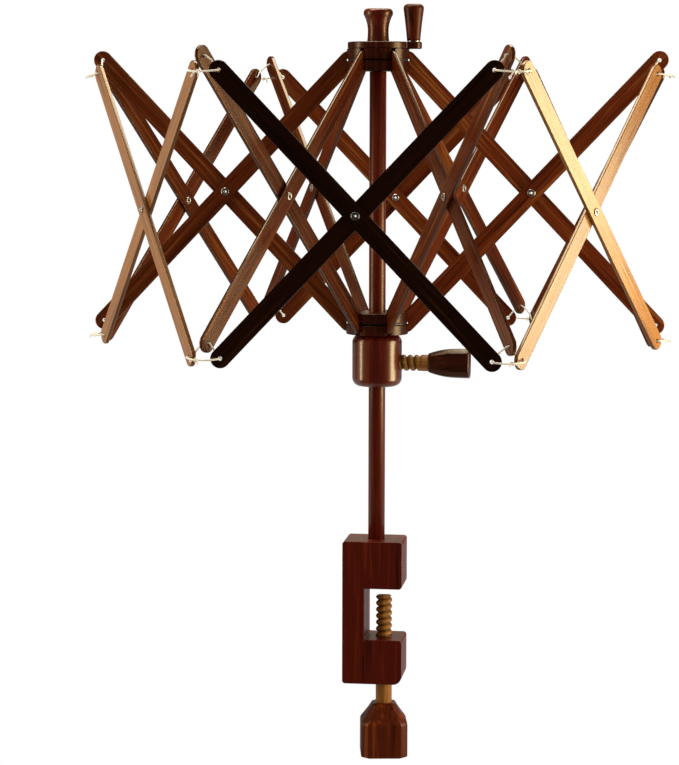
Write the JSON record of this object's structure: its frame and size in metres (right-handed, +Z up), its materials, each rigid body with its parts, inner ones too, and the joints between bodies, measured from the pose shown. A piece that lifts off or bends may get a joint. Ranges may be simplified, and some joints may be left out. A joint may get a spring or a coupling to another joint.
{
  "type": "umbrella swift",
  "caption": "Wooden umbrella swift: a folding reel of riveted, cord-tied slats that spins on a post with a screw table clamp, a sliding collar and a crank peg.",
  "frame": {"origin": "on the post's axis, in the plane of the upper jaw's underside, where the table top rests", "axes": "+Z up along the post, +X out of the mouth of the clamp"},
  "size_m": [0.4668, 0.4172, 0.6099],
  "materials": {
    "rosewood": "dark reddish-brown rosewood, clear gloss varnish",
    "slat_wood": "dark rosewood slats, clear gloss varnish",
    "screw_wood": "golden-brown hardwood screws, satin",
    "steel": "bright nickel-plated steel",
    "cord": "white twisted cotton cord"
  },
  "bodies": {
    "post": {"clamp_block": "rosewood", "shaft": "rosewood", "finial": "rosewood"},
    "clamp_screw": {"clamp_screw": "screw_wood"},
    "clamp_knob": {"clamp_knob": "rosewood"},
    "crown": {"crown_hub": "rosewood", "crown_plate": "rosewood", "crown_wire": "steel", "peg_washer": "steel"},
    "crank_peg": {"crank_peg": "rosewood", "peg_screw": "steel"},
    "runner": {"runner_hub": "rosewood", "runner_wire": "steel"},
    "collar": {"collar": "rosewood"},
    "thumb_screw": {"thumb_screw": "screw_wood"},
    "thumb_knob": {"thumb_knob": "rosewood"},
    "upper_rib_1": {"upper_rib_1": "slat_wood", "rib_rivet_1": "steel"},
    "lower_rib_1": {"lower_rib_1": "slat_wood"},
    "outer_slat_1": {"outer_slat_1": "slat_wood"},
    "inner_slat_1": {"inner_slat_1": "slat_wood"},
    "upper_tie_1": {"upper_tie_1": "cord"},
    "lower_tie_1": {"lower_tie_1": "cord"},
    "upper_rib_2": {"upper_rib_2": "slat_wood", "rib_rivet_2": "steel"},
    "lower_rib_2": {"lower_rib_2": "slat_wood"},
    "outer_slat_2": {"outer_slat_2": "slat_wood"},
    "inner_slat_2": {"inner_slat_2": "slat_wood"},
    "upper_tie_2": {"upper_tie_2": "cord"},
    "lower_tie_2": {"lower_tie_2": "cord"},
    "upper_rib_3": {"upper_rib_3": "slat_wood", "rib_rivet_3": "steel"},
    "lower_rib_3": {"lower_rib_3": "slat_wood"},
    "outer_slat_3": {"outer_slat_3": "slat_wood"},
    "inner_slat_3": {"inner_slat_3": "slat_wood"},
    "upper_tie_3": {"upper_tie_3": "cord"},
    "lower_tie_3": {"lower_tie_3": "cord"},
    "upper_rib_4": {"upper_rib_4": "slat_wood", "rib_rivet_4": "steel"},
    "lower_rib_4": {"lower_rib_4": "slat_wood"},
    "outer_slat_4": {"outer_slat_4": "slat_wood"},
    "inner_slat_4": {"inner_slat_4": "slat_wood"},
    "upper_tie_4": {"upper_tie_4": "cord"},
    "lower_tie_4": {"lower_tie_4": "cord"},
    "upper_rib_5": {"upper_rib_5": "slat_wood", "rib_rivet_5": "steel"},
    "lower_rib_5": {"lower_rib_5": "slat_wood"},
    "outer_slat_5": {"outer_slat_5": "slat_wood"},
    "inner_slat_5": {"inner_slat_5": "slat_wood"},
    "upper_tie_5": {"upper_tie_5": "cord"},
    "lower_tie_5": {"lower_tie_5": "cord"},
    "upper_rib_6": {"upper_rib_6": "slat_wood", "rib_rivet_6": "steel"},
    "lower_rib_6": {"lower_rib_6": "slat_wood"},
    "outer_slat_6": {"outer_slat_6": "slat_wood"},
    "inner_slat_6": {"inner_slat_6": "slat_wood"},
    "upper_tie_6": {"upper_tie_6": "cord"},
    "lower_tie_6": {"lower_tie_6": "cord"}
  },
  "joints": [
    {"name": "reel_spin", "type": "hinge", "parent": "post", "child": "crown", "pos_m": [0, 0, 0.425], "axis": [0, 0, 1], "continuous": true},
    {"name": "peg_spin", "type": "hinge", "parent": "crown", "child": "crank_peg", "pos_m": [0.02828, 0.00099, 0.4394], "axis": [0, 0, 1], "continuous": true},
    {"name": "reel_fold", "type": "hinge", "parent": "crown", "child": "upper_rib_1", "pos_m": [0.02339, 0.00082, 0.425], "axis": [-0.0349, 0.9994, 0], "range_deg": [-26, 37]},
    {"name": "lower_rib_1_cross", "type": "hinge", "parent": "upper_rib_1", "child": "lower_rib_1", "pos_m": [0.12314, 0.0043, 0.31982], "axis": [-0.0349, 0.9994, 0], "range_deg": [-75, 53]},
    {"name": "lower_tie_1_level", "type": "hinge", "parent": "upper_rib_1", "child": "lower_tie_1", "pos_m": [0.22289, 0.00778, 0.21464], "axis": [-0.0349, 0.9994, 0], "range_deg": [-38, 27]},
    {"name": "upper_tie_1_level", "type": "hinge", "parent": "lower_rib_1", "child": "upper_tie_1", "pos_m": [0.22289, 0.00778, 0.425], "axis": [-0.0349, 0.9994, 0], "range_deg": [-27, 38]},
    {"name": "upper_rib_2_fold", "type": "hinge", "parent": "crown", "child": "upper_rib_2", "pos_m": [0.01099, 0.02066, 0.425], "axis": [-0.8829, 0.4695, 0], "range_deg": [-27, 38]},
    {"name": "lower_rib_2_cross", "type": "hinge", "parent": "upper_rib_2", "child": "lower_rib_2", "pos_m": [0.05784, 0.10879, 0.31982], "axis": [-0.8829, 0.4695, 0], "range_deg": [-75, 53]},
    {"name": "lower_tie_2_level", "type": "hinge", "parent": "upper_rib_2", "child": "lower_tie_2", "pos_m": [0.1047, 0.19692, 0.21464], "axis": [-0.8829, 0.4695, 0], "range_deg": [-38, 27]},
    {"name": "upper_tie_2_level", "type": "hinge", "parent": "lower_rib_2", "child": "upper_tie_2", "pos_m": [0.1047, 0.19692, 0.425], "axis": [-0.8829, 0.4695, 0], "range_deg": [-27, 38]},
    {"name": "upper_rib_3_fold", "type": "hinge", "parent": "crown", "child": "upper_rib_3", "pos_m": [-0.0124, 0.01984, 0.425], "axis": [-0.848, -0.5299, 0], "range_deg": [-27, 38]},
    {"name": "lower_rib_3_cross", "type": "hinge", "parent": "upper_rib_3", "child": "lower_rib_3", "pos_m": [-0.06529, 0.10449, 0.31982], "axis": [-0.848, -0.5299, 0], "range_deg": [-75, 53]},
    {"name": "lower_tie_3_level", "type": "hinge", "parent": "upper_rib_3", "child": "lower_tie_3", "pos_m": [-0.11818, 0.18913, 0.21464], "axis": [-0.848, -0.5299, 0], "range_deg": [-38, 27]},
    {"name": "upper_tie_3_level", "type": "hinge", "parent": "lower_rib_3", "child": "upper_tie_3", "pos_m": [-0.11818, 0.18913, 0.425], "axis": [-0.848, -0.5299, 0], "range_deg": [-27, 38]},
    {"name": "upper_rib_4_fold", "type": "hinge", "parent": "crown", "child": "upper_rib_4", "pos_m": [-0.02339, -0.00082, 0.425], "axis": [0.0349, -0.9994, 0], "range_deg": [-27, 38]},
    {"name": "lower_rib_4_cross", "type": "hinge", "parent": "upper_rib_4", "child": "lower_rib_4", "pos_m": [-0.12314, -0.0043, 0.31982], "axis": [0.0349, -0.9994, 0], "range_deg": [-75, 53]},
    {"name": "lower_tie_4_level", "type": "hinge", "parent": "upper_rib_4", "child": "lower_tie_4", "pos_m": [-0.22289, -0.00778, 0.21464], "axis": [0.0349, -0.9994, 0], "range_deg": [-38, 27]},
    {"name": "upper_tie_4_level", "type": "hinge", "parent": "lower_rib_4", "child": "upper_tie_4", "pos_m": [-0.22289, -0.00778, 0.425], "axis": [0.0349, -0.9994, 0], "range_deg": [-27, 38]},
    {"name": "upper_rib_5_fold", "type": "hinge", "parent": "crown", "child": "upper_rib_5", "pos_m": [-0.01099, -0.02066, 0.425], "axis": [0.8829, -0.4695, 0], "range_deg": [-27, 38]},
    {"name": "lower_rib_5_cross", "type": "hinge", "parent": "upper_rib_5", "child": "lower_rib_5", "pos_m": [-0.05784, -0.10879, 0.31982], "axis": [0.8829, -0.4695, 0], "range_deg": [-75, 53]},
    {"name": "lower_tie_5_level", "type": "hinge", "parent": "upper_rib_5", "child": "lower_tie_5", "pos_m": [-0.1047, -0.19692, 0.21464], "axis": [0.8829, -0.4695, 0], "range_deg": [-38, 27]},
    {"name": "upper_tie_5_level", "type": "hinge", "parent": "lower_rib_5", "child": "upper_tie_5", "pos_m": [-0.1047, -0.19692, 0.425], "axis": [0.8829, -0.4695, 0], "range_deg": [-27, 38]},
    {"name": "upper_rib_6_fold", "type": "hinge", "parent": "crown", "child": "upper_rib_6", "pos_m": [0.0124, -0.01984, 0.425], "axis": [0.848, 0.5299, 0], "range_deg": [-27, 38]},
    {"name": "lower_rib_6_cross", "type": "hinge", "parent": "upper_rib_6", "child": "lower_rib_6", "pos_m": [0.06529, -0.10449, 0.31982], "axis": [0.848, 0.5299, 0], "range_deg": [-75, 53]},
    {"name": "lower_tie_6_level", "type": "hinge", "parent": "upper_rib_6", "child": "lower_tie_6", "pos_m": [0.11818, -0.18913, 0.21464], "axis": [0.848, 0.5299, 0], "range_deg": [-38, 27]},
    {"name": "upper_tie_6_level", "type": "hinge", "parent": "lower_rib_6", "child": "upper_tie_6", "pos_m": [0.11818, -0.18913, 0.425], "axis": [0.848, 0.5299, 0], "range_deg": [-27, 38]},
    {"name": "inner_slat_1_swing", "type": "hinge", "parent": "lower_tie_1", "child": "inner_slat_1", "pos_m": [0.21953, 0.01948, 0.20364], "axis": [0.848, 0.5299, 0], "range_deg": [-27, 38]},
    {"name": "outer_slat_1_swing", "type": "hinge", "parent": "lower_tie_2", "child": "outer_slat_1", "pos_m": [0.11654, 0.19052, 0.20364], "axis": [0.848, 0.5299, 0], "range_deg": [-38, 27]},
    {"name": "inner_slat_2_swing", "type": "hinge", "parent": "lower_tie_2", "child": "inner_slat_2", "pos_m": [0.09289, 0.19986, 0.20364], "axis": [-0.0349, 0.9994, 0], "range_deg": [-27, 38]},
    {"name": "outer_slat_2_swing", "type": "hinge", "parent": "lower_tie_3", "child": "outer_slat_2", "pos_m": [-0.10672, 0.19619, 0.20364], "axis": [-0.0349, 0.9994, 0], "range_deg": [-38, 27]},
    {"name": "inner_slat_3_swing", "type": "hinge", "parent": "lower_tie_3", "child": "inner_slat_3", "pos_m": [-0.12663, 0.18038, 0.20364], "axis": [-0.8829, 0.4695, 0], "range_deg": [-27, 38]},
    {"name": "outer_slat_3_swing", "type": "hinge", "parent": "lower_tie_4", "child": "outer_slat_3", "pos_m": [-0.22327, 0.00567, 0.20364], "axis": [-0.8829, 0.4695, 0], "range_deg": [-38, 27]},
    {"name": "inner_slat_4_swing", "type": "hinge", "parent": "lower_tie_4", "child": "inner_slat_4", "pos_m": [-0.21953, -0.01948, 0.20364], "axis": [-0.848, -0.5299, 0], "range_deg": [-27, 38]},
    {"name": "outer_slat_4_swing", "type": "hinge", "parent": "lower_tie_5", "child": "outer_slat_4", "pos_m": [-0.11654, -0.19052, 0.20364], "axis": [-0.848, -0.5299, 0], "range_deg": [-38, 27]},
    {"name": "inner_slat_5_swing", "type": "hinge", "parent": "lower_tie_5", "child": "inner_slat_5", "pos_m": [-0.09289, -0.19986, 0.20364], "axis": [0.0349, -0.9994, 0], "range_deg": [-27, 38]},
    {"name": "outer_slat_5_swing", "type": "hinge", "parent": "lower_tie_6", "child": "outer_slat_5", "pos_m": [0.10672, -0.19619, 0.20364], "axis": [0.0349, -0.9994, 0], "range_deg": [-38, 27]},
    {"name": "inner_slat_6_swing", "type": "hinge", "parent": "lower_tie_6", "child": "inner_slat_6", "pos_m": [0.12663, -0.18038, 0.20364], "axis": [0.8829, -0.4695, 0], "range_deg": [-27, 38]},
    {"name": "outer_slat_6_swing", "type": "hinge", "parent": "lower_tie_1", "child": "outer_slat_6", "pos_m": [0.22327, -0.00567, 0.20364], "axis": [0.8829, -0.4695, 0], "range_deg": [-38, 27]},
    {"name": "runner_level", "type": "hinge", "parent": "lower_rib_1", "child": "runner", "pos_m": [0.02339, 0.00082, 0.21464], "axis": [-0.0349, 0.9994, 0], "range_deg": [-27, 38]},
    {"name": "collar_stay", "type": "hinge", "parent": "runner", "child": "collar", "pos_m": [0, 0, 0.20554], "axis": [0, 0, 1], "continuous": true},
    {"name": "thumb_screw_travel", "type": "slide", "parent": "collar", "child": "thumb_screw", "axis": [1, 0, 0], "range_m": [0, 0.012]},
    {"name": "thumb_knob_turn", "type": "hinge", "parent": "thumb_screw", "child": "thumb_knob", "pos_m": [0.0418, 0, 0.18254], "axis": [1, 0, 0], "range_deg": [-3, 818.1]},
    {"name": "clamp_screw_travel", "type": "slide", "parent": "post", "child": "clamp_screw", "axis": [0, 0, 1], "range_m": [-0.033, 0.008]},
    {"name": "clamp_knob_turn", "type": "hinge", "parent": "clamp_screw", "child": "clamp_knob", "pos_m": [0.0065, 0, -0.0785], "axis": [0, 0, 1], "range_deg": [-2244.5, 546.4]}
  ],
  "couplings": [
    {"joint": "lower_rib_1_cross", "follows": "reel_fold", "ratio": -2},
    {"joint": "lower_tie_1_level", "follows": "reel_fold", "ratio": -1},
    {"joint": "upper_tie_1_level", "follows": "reel_fold", "ratio": 1},
    {"joint": "upper_rib_2_fold", "follows": "reel_fold", "ratio": 1},
    {"joint": "lower_rib_2_cross", "follows": "reel_fold", "ratio": -2},
    {"joint": "lower_tie_2_level", "follows": "reel_fold", "ratio": -1},
    {"joint": "upper_tie_2_level", "follows": "reel_fold", "ratio": 1},
    {"joint": "upper_rib_3_fold", "follows": "reel_fold", "ratio": 1},
    {"joint": "lower_rib_3_cross", "follows": "reel_fold", "ratio": -2},
    {"joint": "lower_tie_3_level", "follows": "reel_fold", "ratio": -1},
    {"joint": "upper_tie_3_level", "follows": "reel_fold", "ratio": 1},
    {"joint": "upper_rib_4_fold", "follows": "reel_fold", "ratio": 1},
    {"joint": "lower_rib_4_cross", "follows": "reel_fold", "ratio": -2},
    {"joint": "lower_tie_4_level", "follows": "reel_fold", "ratio": -1},
    {"joint": "upper_tie_4_level", "follows": "reel_fold", "ratio": 1},
    {"joint": "upper_rib_5_fold", "follows": "reel_fold", "ratio": 1},
    {"joint": "lower_rib_5_cross", "follows": "reel_fold", "ratio": -2},
    {"joint": "lower_tie_5_level", "follows": "reel_fold", "ratio": -1},
    {"joint": "upper_tie_5_level", "follows": "reel_fold", "ratio": 1},
    {"joint": "upper_rib_6_fold", "follows": "reel_fold", "ratio": 1},
    {"joint": "lower_rib_6_cross", "follows": "reel_fold", "ratio": -2},
    {"joint": "lower_tie_6_level", "follows": "reel_fold", "ratio": -1},
    {"joint": "upper_tie_6_level", "follows": "reel_fold", "ratio": 1},
    {"joint": "inner_slat_1_swing", "follows": "reel_fold", "ratio": 1},
    {"joint": "outer_slat_1_swing", "follows": "reel_fold", "ratio": -1},
    {"joint": "inner_slat_2_swing", "follows": "reel_fold", "ratio": 1},
    {"joint": "outer_slat_2_swing", "follows": "reel_fold", "ratio": -1},
    {"joint": "inner_slat_3_swing", "follows": "reel_fold", "ratio": 1},
    {"joint": "outer_slat_3_swing", "follows": "reel_fold", "ratio": -1},
    {"joint": "inner_slat_4_swing", "follows": "reel_fold", "ratio": 1},
    {"joint": "outer_slat_4_swing", "follows": "reel_fold", "ratio": -1},
    {"joint": "inner_slat_5_swing", "follows": "reel_fold", "ratio": 1},
    {"joint": "outer_slat_5_swing", "follows": "reel_fold", "ratio": -1},
    {"joint": "inner_slat_6_swing", "follows": "reel_fold", "ratio": 1},
    {"joint": "outer_slat_6_swing", "follows": "reel_fold", "ratio": -1},
    {"joint": "runner_level", "follows": "reel_fold", "ratio": 1},
    {"joint": "collar_stay", "follows": "reel_spin", "ratio": -1},
    {"joint": "thumb_knob_turn", "follows": "thumb_screw_travel", "rad_per_m": 1185.5},
    {"joint": "clamp_knob_turn", "follows": "clamp_screw_travel", "rad_per_m": 1185.5}
  ]
}
